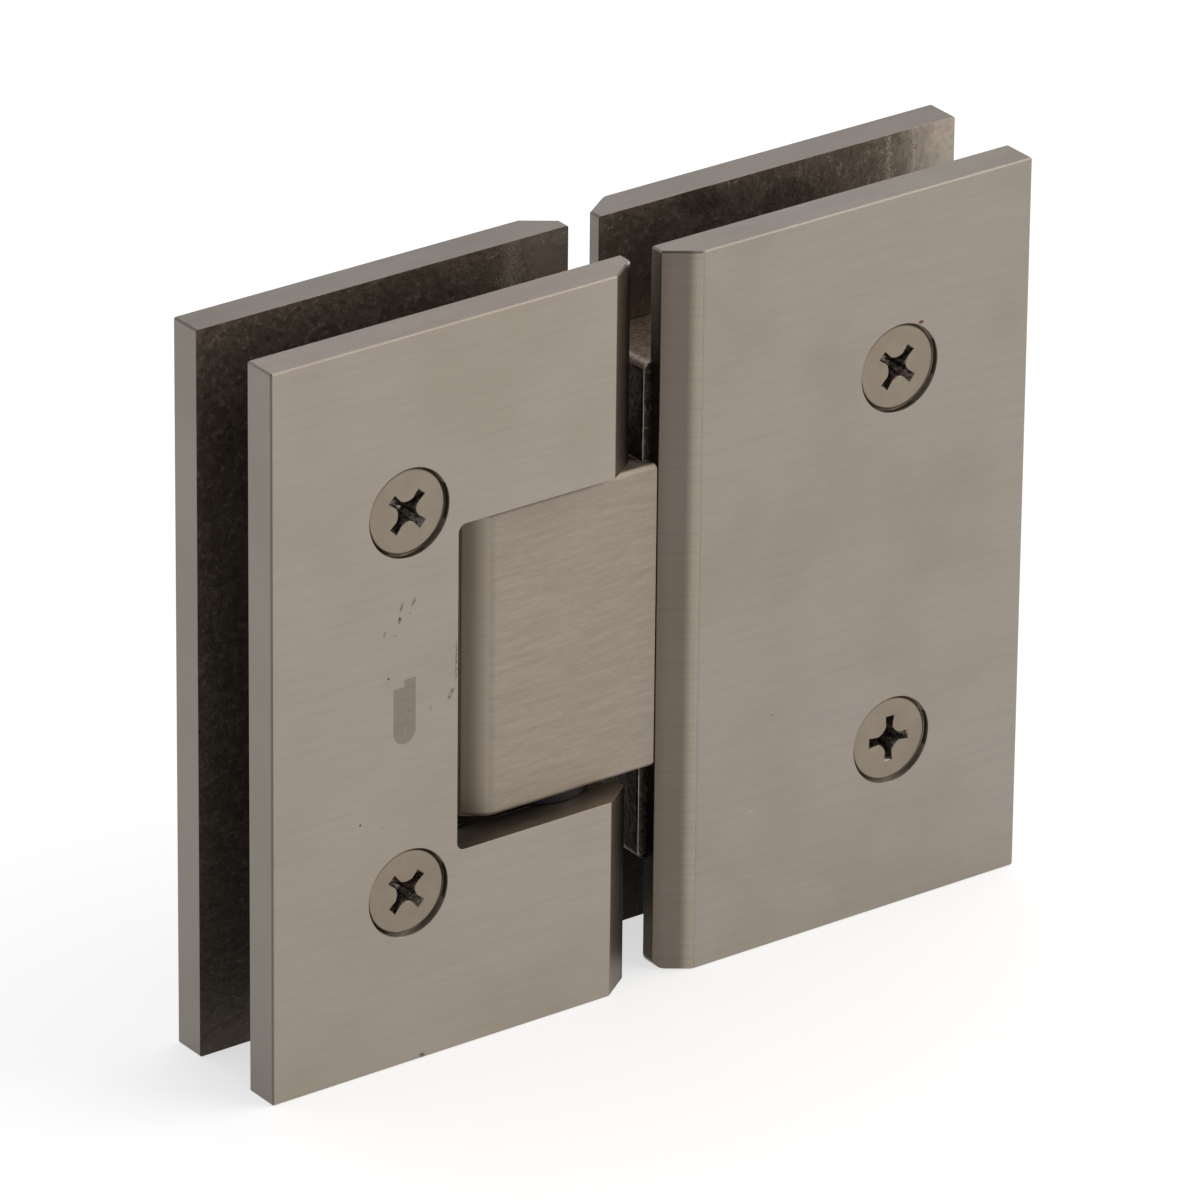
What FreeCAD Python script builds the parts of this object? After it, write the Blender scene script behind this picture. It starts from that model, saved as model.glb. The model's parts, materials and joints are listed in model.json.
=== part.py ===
# Glass to glass shower door hinge, 180 degrees, in brushed nickel plated brass.
# The panel leaf is on the +X side and stays still. The door leaf is on the -X side and swings.
# Origin: middle of the gap between the leaves, half way through the thickness, at mid height.
# +X runs from the door leaf to the panel leaf, -Y is the side with the screws, +Z is along the pivot.
# All sizes are in millimetres.

import FreeCAD, Part
import math
import os

from FreeCAD import Vector

# Plates: four alike, two to a leaf
height = 90.0
leaf_width = 50.4
leaf_gap = 4.2
plate_thickness = 4.5
glass_gap = 10.0
bevel_width = 3.8
bevel_depth = 2.7
door_bevel_round = 0.5
panel_bevel_round = 1.5
gap_edge_round = 0.3
edge_break = 0.2
worn_corner_radius = 1.5

# Notch in the door plates that the knuckle turns in
notch_depth = 25.2
notch_height = 40.4
notch_corner_radius = 1.0

# Hinge block: a knuckle in the notch and a taller root between the panel plates
knuckle_end_clearance = 3.5
knuckle_bevel_width = 2.9
knuckle_bevel_depth = 2.0
knuckle_bevel_round = 2.6
knuckle_edge_break = 0.5
root_overhang = 1.3
root_depth_in_leaf = 13.4
root_end_round = 1.2
root_edge_break = 0.2
root_pocket_depth = 0.5

# Pivot: a pin held in two lugs of the door back plate, turning in two flanged bushes of the block.
# The lugs, the pin and the root of the block end at the same height.
pivot_inset = 7.9
pin_diameter = 8.0
pin_end_chamfer = 0.5
pin_flat_depth = 0.35
pin_flat_length = 25.0
pin_flat_count = 4
lug_height = 11.0
lug_wall = 2.3
bush_outer_diameter = 11.0
bush_length = 6.0
bush_flange_diameter = 12.4
bush_flange_thickness = 1.0
bush_flange_play = 0.1
bush_running_clearance = 0.05
pin_bore_clearance = 0.25

# Detent: two sprung plungers that press on the flats of the pin
detent_offset = 7.0
plunger_diameter = 6.0
plunger_length = 6.5
plunger_clearance = 0.05
plunger_lift_at_rest = 0.03
plunger_chamfer = 0.5
spring_outer_diameter = 5.6
spring_bore_diameter = 2.6
spring_end_clearance = 0.1
adjuster_diameter = 8.0
adjuster_length = 6.0
adjuster_inset = 0.4
adjuster_socket = 4.0
adjuster_socket_depth = 3.0

# Clamp screws: M6 countersunk, cross recessed, two to a leaf
clamp_edge_distance = 18.5
clamp_spacing = 47.0
clamp_shank_diameter = 6.0
clamp_head_diameter = 10.2
clamp_head_sink = 0.4
countersink_clearance = 0.3
countersink_rim = 0.7
clamp_hole_clearance = 0.2
blind_hole_skin = 0.8
screw_end_room = 0.3
recess_span = 5.7
recess_wing = 1.2
recess_nose = 1.25
recess_nose_width = 0.9
recess_depth = 2.8
recess_taper = 0.42
recess_turns = {
    "door_clamp_screw_upper": 43.0,
    "door_clamp_screw_lower": 45.0,
    "panel_clamp_screw_upper": 41.0,
    "panel_clamp_screw_lower": 2.0,
}

# Cap screws that hold the block to the panel back plate, M5
block_screw_end_distance = 6.4
block_screw_edge_distance = 6.9
block_screw_diameter = 5.0
block_screw_head_diameter = 8.5
block_screw_head_height = 5.0
block_screw_hole_clearance = 0.25
block_screw_sink = 0.3
block_screw_socket = 4.0
block_screw_socket_depth = 2.5

# Grub screws that lock the pin in its lugs, M5
set_screw_diameter = 5.0
set_screw_length = 5.2
set_screw_socket = 2.5
set_screw_socket_depth = 2.2
set_screw_inset = 0.2
set_screw_seat_depth = 0.4

# Gap left round pieces that are pushed or screwed into one another
fit_clearance = 0.02
root_pocket_clearance = 0.1

# Places that follow from the sizes above
gap_edge = leaf_gap / 2
outer_edge = gap_edge + leaf_width
inner_face = glass_gap / 2
outer_face = inner_face + plate_thickness
half_height = height / 2
notch_wall = gap_edge + notch_depth
notch_half = notch_height / 2
pivot_x = -(gap_edge + pivot_inset)
pin_radius = pin_diameter / 2
clamp_x = outer_edge - clamp_edge_distance
clamp_z = clamp_spacing / 2
knuckle_half_height = notch_half - bush_flange_thickness - 2 * bush_flange_play
knuckle_half_thickness = outer_face - bevel_depth
knuckle_end = -(notch_wall - knuckle_end_clearance)
knuckle_stop = gap_edge - fit_clearance
root_half_thickness = inner_face + root_pocket_depth
root_start = gap_edge - root_overhang
root_end = gap_edge + root_depth_in_leaf
lug_top = notch_half + lug_height
lug_middle = notch_half + lug_height / 2
block_screw_z = lug_top - block_screw_end_distance
lug_right = pivot_x + pin_radius + lug_wall
lug_left = pivot_x - pin_radius - set_screw_length
blind_floor = outer_face - blind_hole_skin
plunger_nose = pivot_x + pin_radius + plunger_lift_at_rest
plunger_back = plunger_nose + plunger_length
adjuster_outer_end = root_end - adjuster_inset
adjuster_inner_end = adjuster_outer_end - adjuster_length


def turned(profile, start, direction):
    """Solid of revolution. Each point of the profile is (distance along the axis, radius)."""
    side = Vector(1, 0, 0) if abs(direction.z) > 0.5 else Vector(0, 0, 1)
    points = [start + direction * along + side * radius for along, radius in profile]
    face = Part.Face(Part.makePolygon(points + points[:1]))
    return face.revolve(start, direction, 360)


def hexagon(across_flats, start, direction, depth):
    """Six-sided prism from start along direction."""
    side = Vector(1, 0, 0) if abs(direction.z) > 0.5 else Vector(0, 0, 1)
    other = direction.cross(side)
    radius = across_flats / math.sqrt(3)
    points = []
    for corner in range(7):
        angle = math.radians(60 * corner)
        points.append(start + side * radius * math.cos(angle) + other * radius * math.sin(angle))
    return Part.Face(Part.makePolygon(points)).extrude(direction * depth)


def box(x0, x1, y0, y1, z0, z1):
    """Box between two corners."""
    return Part.makeBox(x1 - x0, y1 - y0, z1 - z0, Vector(x0, y0, z0))


def rounded_corner(before, corner, after, radius):
    """Tangent arc that rounds a corner of an outline: its start, a point on it and its end."""
    to_before = (before - corner).normalize()
    to_after = (after - corner).normalize()
    half_angle = to_before.getAngle(to_after) / 2
    reach = radius / math.tan(half_angle)
    start = corner + to_before * reach
    end = corner + to_after * reach
    bisector = (to_before + to_after).normalize()
    centre = corner + bisector * (radius / math.sin(half_angle))
    middle = centre - bisector * radius
    return start, middle, end


def mirrored_y(shape):
    """The same shape on the other side of the glass."""
    return shape.mirror(Vector(0, 0, 0), Vector(0, 1, 0))


def mirrored_z(shape):
    """The same shape the same distance below mid height."""
    return shape.mirror(Vector(0, 0, 0), Vector(0, 0, 1))


def plate_blank(bevel_round):
    """Panel side plate nearest the viewer, with its bevel along the gap and its edges broken."""
    outline = [
        Vector(gap_edge, -inner_face, -half_height),
        Vector(outer_edge, -inner_face, -half_height),
        Vector(outer_edge, -outer_face, -half_height),
        Vector(gap_edge + bevel_width, -outer_face, -half_height),
        Vector(gap_edge, -outer_face + bevel_depth, -half_height),
    ]
    start, middle, end = rounded_corner(outline[2], outline[3], outline[4], bevel_round)
    low_start, low_middle, low_end = rounded_corner(outline[3], outline[4], outline[0], gap_edge_round)
    edges = [
        Part.makeLine(outline[0], outline[1]),
        Part.makeLine(outline[1], outline[2]),
        Part.makeLine(outline[2], start),
        Part.Arc(start, middle, end).toShape(),
        Part.makeLine(end, low_start),
        Part.Arc(low_start, low_middle, low_end).toShape(),
        Part.makeLine(low_end, outline[0]),
    ]
    blank = Part.Face(Part.Wire(edges)).extrude(Vector(0, 0, height))
    to_break = []
    for edge in blank.Edges:
        middle_point = edge.valueAt((edge.FirstParameter + edge.LastParameter) / 2)
        level = abs(abs(middle_point.z) - half_height) < 0.001
        on_inner_face = abs(middle_point.y + inner_face) < 0.001
        outer_corner = abs(middle_point.x - outer_edge) < 0.001 and abs(middle_point.y + outer_face) < 0.001
        if (level and not on_inner_face) or outer_corner:
            to_break.append(edge)
    return blank.makeChamfer(edge_break, to_break)


def door_side(shape):
    """The same shape on the door leaf."""
    return shape.mirror(Vector(0, 0, 0), Vector(1, 0, 0))


def notch():
    """Space that is cut from a door plate for the knuckle, with rounded inner corners."""
    past = 1.0
    space = box(-notch_wall, past, -outer_face - past, outer_face + past, -notch_half, notch_half)
    corners = []
    for edge in space.Edges:
        middle = edge.CenterOfMass
        if abs(middle.x + notch_wall) < 0.001 and abs(middle.y) < 0.001:
            corners.append(edge)
    return space.makeFillet(notch_corner_radius, corners)


def countersink(x, z):
    """Countersunk hole with a short straight rim, through a plate nearest the viewer."""
    rim_radius = clamp_head_diameter / 2 + countersink_clearance
    hole_radius = clamp_shank_diameter / 2 + clamp_hole_clearance
    past = 1.0
    profile = [
        (-past, 0),
        (-past, rim_radius),
        (countersink_rim, rim_radius),
        (countersink_rim + rim_radius - hole_radius, hole_radius),
        (plate_thickness + past, hole_radius),
        (plate_thickness + past, 0),
    ]
    return turned(profile, Vector(x, -outer_face, z), Vector(0, 1, 0))


def blind_hole(x, z, radius):
    """Tapped hole from the inner face of a back plate that stops short of its outer face."""
    start = Vector(x, inner_face, z)
    return Part.makeCylinder(radius, blind_floor - inner_face, start, Vector(0, 1, 0))


def root_pocket(towards):
    """Shallow pocket in a panel plate that the root of the block is let into."""
    past = 1.0
    half = lug_top + root_pocket_clearance
    depths = sorted([towards * (inner_face - past), towards * root_half_thickness])
    return box(gap_edge - past, root_end + root_pocket_clearance, depths[0], depths[1], -half, half)


def front_plate(side, bevel_round):
    """Plate with the screw heads. side is +1 on the panel leaf and -1 on the door leaf."""
    plate = plate_blank(bevel_round)
    if side < 0:
        plate = door_side(plate).cut(notch())
    for z in (clamp_z, -clamp_z):
        plate = plate.cut(countersink(side * clamp_x, z))
    return plate


def back_plate(side, bevel_round):
    """Plate with the tapped holes, which are blind so that its outer face stays plain."""
    plate = mirrored_y(plate_blank(bevel_round))
    if side < 0:
        plate = door_side(plate).cut(notch())
    thread_radius = clamp_shank_diameter / 2 + fit_clearance
    for z in (clamp_z, -clamp_z):
        plate = plate.cut(blind_hole(side * clamp_x, z, thread_radius))
    return plate


def panel_front_plate():
    """Front plate of the panel leaf. Its lower corner beside the gap is rubbed round."""
    plate = front_plate(1, panel_bevel_round).cut(root_pocket(-1))
    reach = worn_corner_radius
    past = 1.0
    corner = box(gap_edge - past, gap_edge + reach, -outer_face - past, 0, -half_height - past, -half_height + reach)
    centre = Vector(gap_edge + reach, -outer_face - past, -half_height + reach)
    kept = Part.makeCylinder(reach, outer_face + past, centre, Vector(0, 1, 0))
    return plate.cut(corner.cut(kept))


def panel_back_plate():
    """Back plate of the panel leaf, with tapped holes for the clamp screws and the block screws."""
    plate = back_plate(1, panel_bevel_round).cut(root_pocket(1))
    for z in (block_screw_z, -block_screw_z):
        radius = block_screw_diameter / 2 + fit_clearance
        plate = plate.cut(blind_hole(gap_edge + block_screw_edge_distance, z, radius))
    return plate


def door_front_plate():
    """Front plate of the door leaf, with the notch."""
    return front_plate(-1, door_bevel_round)


def pin_lug():
    """Upper lug of the door back plate, bored for the pin and tapped for its grub screw."""
    lug = box(lug_left, lug_right, -inner_face, inner_face + edge_break, notch_half, lug_top)
    corners = []
    for edge in lug.Edges:
        middle = edge.CenterOfMass
        if abs(middle.y + inner_face) < 0.001:
            corners.append(edge)
    lug = lug.makeChamfer(edge_break, corners)
    bore_start = Vector(pivot_x, 0, notch_half - 1.0)
    bore = Part.makeCylinder(pin_radius + fit_clearance, lug_height + 2.0, bore_start)
    tapped_start = Vector(lug_left - 1.0, 0, lug_middle)
    tapped_length = pivot_x - lug_left + 1.0
    tapped_radius = set_screw_diameter / 2 + fit_clearance
    tapped = Part.makeCylinder(tapped_radius, tapped_length, tapped_start, Vector(1, 0, 0))
    return lug.cut(bore).cut(tapped)


def door_back_plate():
    """Back plate of the door leaf, one piece with the two lugs that carry the pin."""
    lug = pin_lug()
    plate = back_plate(-1, door_bevel_round)
    return plate.fuse([lug, mirrored_z(lug)]).removeSplitter()


def knuckle():
    """The part of the block that fills the notch, bevelled at its far end on both faces."""
    half = knuckle_half_thickness
    far = knuckle_end
    low = -knuckle_half_height
    shoulder_x = far + knuckle_bevel_width
    shoulder_y = half - knuckle_bevel_depth
    edges = []
    start, middle, end = rounded_corner(
        Vector(knuckle_stop, -half, low),
        Vector(shoulder_x, -half, low),
        Vector(far, -shoulder_y, low),
        knuckle_bevel_round,
    )
    mirror = [Vector(p.x, -p.y, p.z) for p in (start, middle, end)]
    edges.append(Part.makeLine(Vector(knuckle_stop, half, low), Vector(knuckle_stop, -half, low)))
    edges.append(Part.makeLine(Vector(knuckle_stop, -half, low), start))
    edges.append(Part.Arc(start, middle, end).toShape())
    edges.append(Part.makeLine(end, Vector(far, -shoulder_y, low)))
    edges.append(Part.makeLine(Vector(far, -shoulder_y, low), Vector(far, shoulder_y, low)))
    edges.append(Part.makeLine(Vector(far, shoulder_y, low), mirror[2]))
    edges.append(Part.Arc(mirror[2], mirror[1], mirror[0]).toShape())
    edges.append(Part.makeLine(mirror[0], Vector(knuckle_stop, half, low)))
    block = Part.Face(Part.Wire(edges)).extrude(Vector(0, 0, 2 * knuckle_half_height))
    to_break = []
    for edge in block.Edges:
        middle_point = edge.valueAt((edge.FirstParameter + edge.LastParameter) / 2)
        level = abs(abs(middle_point.z) - knuckle_half_height) < 0.001
        if level and middle_point.x < knuckle_stop - 0.001:
            to_break.append(edge)
    return block.makeChamfer(knuckle_edge_break, to_break)


def root():
    """The taller part of the block between the panel plates, rounded at its two ends in the gap."""
    block = box(root_start, root_end, -root_half_thickness, root_half_thickness, -lug_top, lug_top)
    to_round = []
    for edge in block.Edges:
        middle = edge.CenterOfMass
        if abs(middle.x - root_start) < 0.001 and abs(middle.y) < 0.001:
            to_round.append(edge)
    block = block.makeFillet(root_end_round, to_round)
    to_break = []
    for edge in block.Edges:
        middle = edge.CenterOfMass
        on_side = abs(abs(middle.y) - root_half_thickness) < 0.001
        if on_side and middle.x < root_end - 0.001:
            to_break.append(edge)
    return block.makeChamfer(root_edge_break, to_break)


def hinge_block():
    """Knuckle and root in one piece, with the pivot bore, bush seats, detent bores and screw holes."""
    block = knuckle().fuse(root()).removeSplitter()
    full = 2 * knuckle_half_height
    bore_radius = pin_radius + pin_bore_clearance
    bottom = Vector(pivot_x, 0, -knuckle_half_height)
    block = block.cut(Part.makeCylinder(bore_radius, full, bottom))
    seat_radius = bush_outer_diameter / 2 + fit_clearance
    for z in (-knuckle_half_height, knuckle_half_height - bush_length):
        block = block.cut(Part.makeCylinder(seat_radius, bush_length, Vector(pivot_x, 0, z)))
    along_x = Vector(1, 0, 0)
    for z in (detent_offset, -detent_offset):
        guide_radius = plunger_diameter / 2 + plunger_clearance
        guide = Part.makeCylinder(guide_radius, root_end - pivot_x, Vector(pivot_x, 0, z), along_x)
        tapped_start = Vector(adjuster_inner_end, 0, z)
        tapped_length = root_end - adjuster_inner_end
        tapped = Part.makeCylinder(adjuster_diameter / 2 + fit_clearance, tapped_length, tapped_start, along_x)
        block = block.cut(guide).cut(tapped)
    screw_x = gap_edge + block_screw_edge_distance
    for z in (block_screw_z, -block_screw_z):
        front = Vector(screw_x, -root_half_thickness, z)
        head_depth = block_screw_sink + block_screw_head_height
        head_radius = block_screw_head_diameter / 2 + block_screw_hole_clearance
        shank_radius = block_screw_diameter / 2 + block_screw_hole_clearance
        along_y = Vector(0, 1, 0)
        block = block.cut(Part.makeCylinder(head_radius, head_depth, front, along_y))
        block = block.cut(Part.makeCylinder(shank_radius, 2 * root_half_thickness, front, along_y))
    return block


def pivot_bush():
    """Upper flanged bush: its body is in the knuckle and its flange lies between knuckle and lug."""
    inner = pin_radius + bush_running_clearance
    outer = bush_outer_diameter / 2
    flange = bush_flange_diameter / 2
    base = knuckle_half_height - bush_length
    flange_foot = knuckle_half_height + bush_flange_play / 2
    profile = [
        (base + fit_clearance, inner),
        (base + fit_clearance, outer),
        (flange_foot, outer),
        (flange_foot, flange),
        (flange_foot + bush_flange_thickness, flange),
        (flange_foot + bush_flange_thickness, inner),
    ]
    return turned(profile, Vector(pivot_x, 0, 0), Vector(0, 0, 1))


def pivot_pin():
    """Pin through both lugs and the knuckle, with flats for the detent and seats for the grub screws."""
    profile = [
        (-lug_top, 0),
        (-lug_top, pin_radius - pin_end_chamfer),
        (-lug_top + pin_end_chamfer, pin_radius),
        (lug_top - pin_end_chamfer, pin_radius),
        (lug_top, pin_radius - pin_end_chamfer),
        (lug_top, 0),
    ]
    pin = turned(profile, Vector(pivot_x, 0, 0), Vector(0, 0, 1))
    flat_x = pin_radius - pin_flat_depth
    half = pin_flat_length / 2
    for index in range(pin_flat_count):
        flat = box(flat_x, 2 * pin_radius, -pin_diameter, pin_diameter, -half, half)
        flat.rotate(Vector(0, 0, 0), Vector(0, 0, 1), 360.0 / pin_flat_count * index)
        flat.translate(Vector(pivot_x, 0, 0))
        pin = pin.cut(flat)
    for z in (lug_middle, -lug_middle):
        seat_end = pivot_x - pin_radius + set_screw_seat_depth
        start = Vector(seat_end - pin_diameter, 0, z)
        seat_radius = set_screw_diameter / 2 + fit_clearance
        pin = pin.cut(Part.makeCylinder(seat_radius, pin_diameter, start, Vector(1, 0, 0)))
    return pin


def set_screw():
    """Upper grub screw of the pin, with its hexagon socket towards the glass."""
    start = lug_left + set_screw_inset
    end = pivot_x - pin_radius + set_screw_seat_depth - fit_clearance
    length = end - start
    radius = set_screw_diameter / 2
    profile = [(0, 0), (0, radius), (length, radius), (length, 0)]
    at = Vector(start, 0, lug_middle)
    along = Vector(1, 0, 0)
    return turned(profile, at, along).cut(hexagon(set_screw_socket, at, along, set_screw_socket_depth))


def plunger():
    """Upper detent plunger. At rest its nose just clears the round of the pin beside the flat."""
    radius = plunger_diameter / 2
    chamfer = plunger_chamfer
    profile = [(0, 0), (0, radius - chamfer), (chamfer, radius), (plunger_length, radius), (plunger_length, 0)]
    return turned(profile, Vector(plunger_nose, 0, detent_offset), Vector(1, 0, 0))


def plunger_spring():
    """Upper spring, a polyurethane tube squeezed between the plunger and the adjuster."""
    start = plunger_back + spring_end_clearance
    end = adjuster_inner_end - spring_end_clearance
    outer = spring_outer_diameter / 2
    inner = spring_bore_diameter / 2
    profile = [(start, inner), (start, outer), (end, outer), (end, inner)]
    return turned(profile, Vector(0, 0, detent_offset), Vector(1, 0, 0))


def adjuster():
    """Upper adjusting screw that sets the force of the spring, with its socket towards the glass."""
    radius = adjuster_diameter / 2
    profile = [(0, 0), (0, radius), (adjuster_length, radius), (adjuster_length, 0)]
    at = Vector(adjuster_outer_end, 0, detent_offset)
    inwards = Vector(-1, 0, 0)
    return turned(profile, at, inwards).cut(hexagon(adjuster_socket, at, inwards, adjuster_socket_depth))


def cross_outline(depth, scale):
    """Outline of the cross recess: four straight wing ends, with the blunt noses of metal between."""
    points = []
    for index in range(4):
        angle = math.radians(90 * index)
        out = Vector(math.cos(angle), 0, math.sin(angle)) * scale
        across = Vector(-math.sin(angle), 0, math.cos(angle)) * scale
        nose = (out + across) * (recess_nose / math.sqrt(2))
        nose_half = (out - across) * (recess_nose_width / 2 / math.sqrt(2))
        points.append(out * (recess_span / 2) - across * (recess_wing / 2))
        points.append(out * (recess_span / 2) + across * (recess_wing / 2))
        points.append(nose + nose_half)
        points.append(nose - nose_half)
    level = Vector(0, depth, 0)
    return [point + level for point in points + points[:1]]


def cross_recess(at, turn):
    """Cross recess that tapers from the head's face along +Y."""
    top = cross_outline(0, 1.0)
    floor = cross_outline(recess_depth, recess_taper)
    faces = [Part.Face(Part.makePolygon(top)), Part.Face(Part.makePolygon(floor))]
    for index in range(len(top) - 1):
        side = [top[index], top[index + 1], floor[index + 1], floor[index], top[index]]
        faces.append(Part.Face(Part.makePolygon(side)))
    shell = Part.Shell(faces)
    shell.sewShape()
    recess = Part.Solid(shell)
    if recess.Volume < 0:
        recess.reverse()
    recess.rotate(Vector(0, 0, 0), Vector(0, 1, 0), turn)
    recess.translate(at)
    return recess


def clamp_screw(x, z, turn):
    """Countersunk screw that draws the two plates of a leaf together."""
    head = clamp_head_diameter / 2
    shank = clamp_shank_diameter / 2
    rim_end = countersink_rim + countersink_clearance - clamp_head_sink + fit_clearance
    end = outer_face + blind_floor - clamp_head_sink - screw_end_room
    profile = [
        (0, 0),
        (0, head),
        (rim_end - 2 * fit_clearance, head),
        (rim_end - 2 * fit_clearance + head - shank, shank),
        (end, shank),
        (end, 0),
    ]
    at = Vector(x, -outer_face + clamp_head_sink, z)
    return turned(profile, at, Vector(0, 1, 0)).cut(cross_recess(at, turn))


def block_screw():
    """Upper cap screw that holds the block to the panel back plate."""
    head = block_screw_head_diameter / 2
    shank = block_screw_diameter / 2
    top = -root_half_thickness + block_screw_sink
    end = blind_floor - screw_end_room - top
    under_head = block_screw_head_height
    profile = [(0, 0), (0, head), (under_head, head), (under_head, shank), (end, shank), (end, 0)]
    at = Vector(gap_edge + block_screw_edge_distance, top, block_screw_z)
    along = Vector(0, 1, 0)
    socket = hexagon(block_screw_socket, at, along, block_screw_socket_depth)
    return turned(profile, at, along).cut(socket)


def save(name, shape):
    """Write one sub-part, and say how large it is."""
    shape.exportStep("parts/" + name + ".step")
    size = shape.BoundBox
    print(name, len(shape.Solids), "solid", round(size.XLength, 2), round(size.YLength, 2), round(size.ZLength, 2))


def save_pair(name, upper):
    """Write an upper piece and its mirror image below mid height."""
    save(name + "_upper", upper)
    save(name + "_lower", mirrored_z(upper))


os.makedirs("parts", exist_ok=True)

save("panel_front_plate", panel_front_plate())
save("panel_back_plate", panel_back_plate())
save("hinge_block", hinge_block())
save("door_front_plate", door_front_plate())
save("door_back_plate", door_back_plate())
save("pivot_pin", pivot_pin())
save_pair("block_screw", block_screw())
save_pair("pivot_bush", pivot_bush())
save_pair("detent_plunger", plunger())
save_pair("detent_spring", plunger_spring())
save_pair("detent_adjuster", adjuster())
save_pair("pin_set_screw", set_screw())

for leaf, side in (("panel", 1), ("door", -1)):
    for level, z in (("upper", clamp_z), ("lower", -clamp_z)):
        screw_name = leaf + "_clamp_screw_" + level
        save(screw_name, clamp_screw(side * clamp_x, z, recess_turns[screw_name]))
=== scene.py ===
# %% [markdown]
# # A shower door hinge in brushed nickel
#
# The hinge holds a glass door to a fixed glass panel. Each leaf is two thick brass plates that clamp
# the glass, and the leaves meet in a knuckle block that turns on a vertical pin. Every outer face is
# brushed along X and plated with satin nickel.
#
# The shapes come from a imported CAD model that stays where it is. This script gives them their looks:
# softened edges, brushed and plated finishes, real screws, marks of wear, painted light and shade, and a
# photo studio.

# %% Load the fixed model
import json
import math

import bmesh
import bpy
import numpy as np
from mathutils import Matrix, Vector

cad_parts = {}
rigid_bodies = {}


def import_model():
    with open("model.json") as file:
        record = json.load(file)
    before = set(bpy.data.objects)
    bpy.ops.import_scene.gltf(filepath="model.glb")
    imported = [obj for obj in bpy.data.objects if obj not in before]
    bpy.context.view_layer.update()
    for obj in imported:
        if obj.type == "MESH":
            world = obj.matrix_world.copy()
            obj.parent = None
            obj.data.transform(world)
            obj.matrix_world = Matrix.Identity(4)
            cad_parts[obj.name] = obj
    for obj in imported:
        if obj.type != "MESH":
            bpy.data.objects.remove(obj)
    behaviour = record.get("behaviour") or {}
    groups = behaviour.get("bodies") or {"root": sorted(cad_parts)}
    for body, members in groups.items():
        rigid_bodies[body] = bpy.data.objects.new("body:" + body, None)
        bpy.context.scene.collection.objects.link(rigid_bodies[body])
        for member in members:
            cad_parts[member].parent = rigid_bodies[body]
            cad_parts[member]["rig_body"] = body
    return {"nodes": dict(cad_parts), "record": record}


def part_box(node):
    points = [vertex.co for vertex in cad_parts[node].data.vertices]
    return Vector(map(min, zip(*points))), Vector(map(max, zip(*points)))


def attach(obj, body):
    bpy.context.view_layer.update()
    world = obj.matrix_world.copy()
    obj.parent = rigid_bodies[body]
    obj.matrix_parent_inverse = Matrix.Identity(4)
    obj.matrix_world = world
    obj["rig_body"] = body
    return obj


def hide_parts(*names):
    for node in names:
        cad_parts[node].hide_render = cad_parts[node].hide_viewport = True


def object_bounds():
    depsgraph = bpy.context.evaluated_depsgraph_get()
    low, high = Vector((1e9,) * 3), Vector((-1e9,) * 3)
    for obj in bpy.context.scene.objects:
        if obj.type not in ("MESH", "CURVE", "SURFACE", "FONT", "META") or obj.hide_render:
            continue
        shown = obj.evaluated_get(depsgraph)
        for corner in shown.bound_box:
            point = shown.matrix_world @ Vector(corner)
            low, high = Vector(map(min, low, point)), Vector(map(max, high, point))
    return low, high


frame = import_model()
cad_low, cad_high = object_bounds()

MM = 0.001
nodes = frame["nodes"]
print("CAD nodes:", len(nodes), "box in mm:", [round(c / MM, 2) for c in (*cad_low, *cad_high)])

# %% [markdown]
# ## Camera
#
# The hinge is seen from the front left and from above, through a long lens, so that its upright edges
# stay nearly parallel. A lens of 340 mm on a 36 mm sensor at 1.3 m gives that flat perspective. The
# turn of half a degree about the line of sight is there because the real object leans that much.

# %% Place the camera
LENS = 340.0
SENSOR_WIDTH = 36.0
CAMERA_PLACE = (-0.6868, -0.9345, 0.55362)
CAMERA_ANGLES = (64.47582, -0.56653, -36.00923)

camera_data = bpy.data.cameras.new("studio_camera")
camera_data.sensor_width = SENSOR_WIDTH
camera_data.lens = LENS
camera_data.clip_start = 0.1
camera_data.clip_end = 20.0
camera = bpy.data.objects.new("studio_camera", camera_data)
camera.location = CAMERA_PLACE
camera.rotation_euler = [math.radians(angle) for angle in CAMERA_ANGLES]
bpy.context.scene.collection.objects.link(camera)
bpy.context.scene.camera = camera
bpy.context.scene.view_settings.view_transform = "Standard"
print("camera", [round(c, 3) for c in camera.location])

# %% [markdown]
# ## Two helpers
#
# Colours are written as sRGB hex values, as a colour picker shows them. Blender's shaders work with
# linear light, so one function turns a hex value into linear numbers. The second helper adds a shader
# node, sets its properties and joins its inputs, so that a material reads as a short list of steps.


# %% Colour and node helpers
# Places of a Mix node's colour sockets
MIX_FACTOR, MIX_A, MIX_B, MIX_RESULT = 0, 6, 7, 2


def linear(hex_colour):
    """Linear RGBA of an sRGB hex colour: c / 12.92 near black, else ((c + 0.055) / 1.055) ** 2.4."""
    parts = [int(hex_colour[i:i + 2], 16) / 255 for i in (1, 3, 5)]
    return tuple(c / 12.92 if c <= 0.04045 else ((c + 0.055) / 1.055) ** 2.4 for c in parts) + (1.0,)


def add_node(tree, kind, inputs=None, **settings):
    """Add a node. settings are its properties. inputs are values, or (node, output) links."""
    node = tree.nodes.new(kind)
    for name, value in settings.items():
        setattr(node, name, value)
    for name, value in (inputs or {}).items():
        if isinstance(value, tuple) and isinstance(value[0], bpy.types.Node):
            tree.links.new(value[0].outputs[value[1]], node.inputs[name])
        else:
            node.inputs[name].default_value = value
    return node


print("brushed nickel, linear:", [round(c, 3) for c in linear("#9c938a")])

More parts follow.
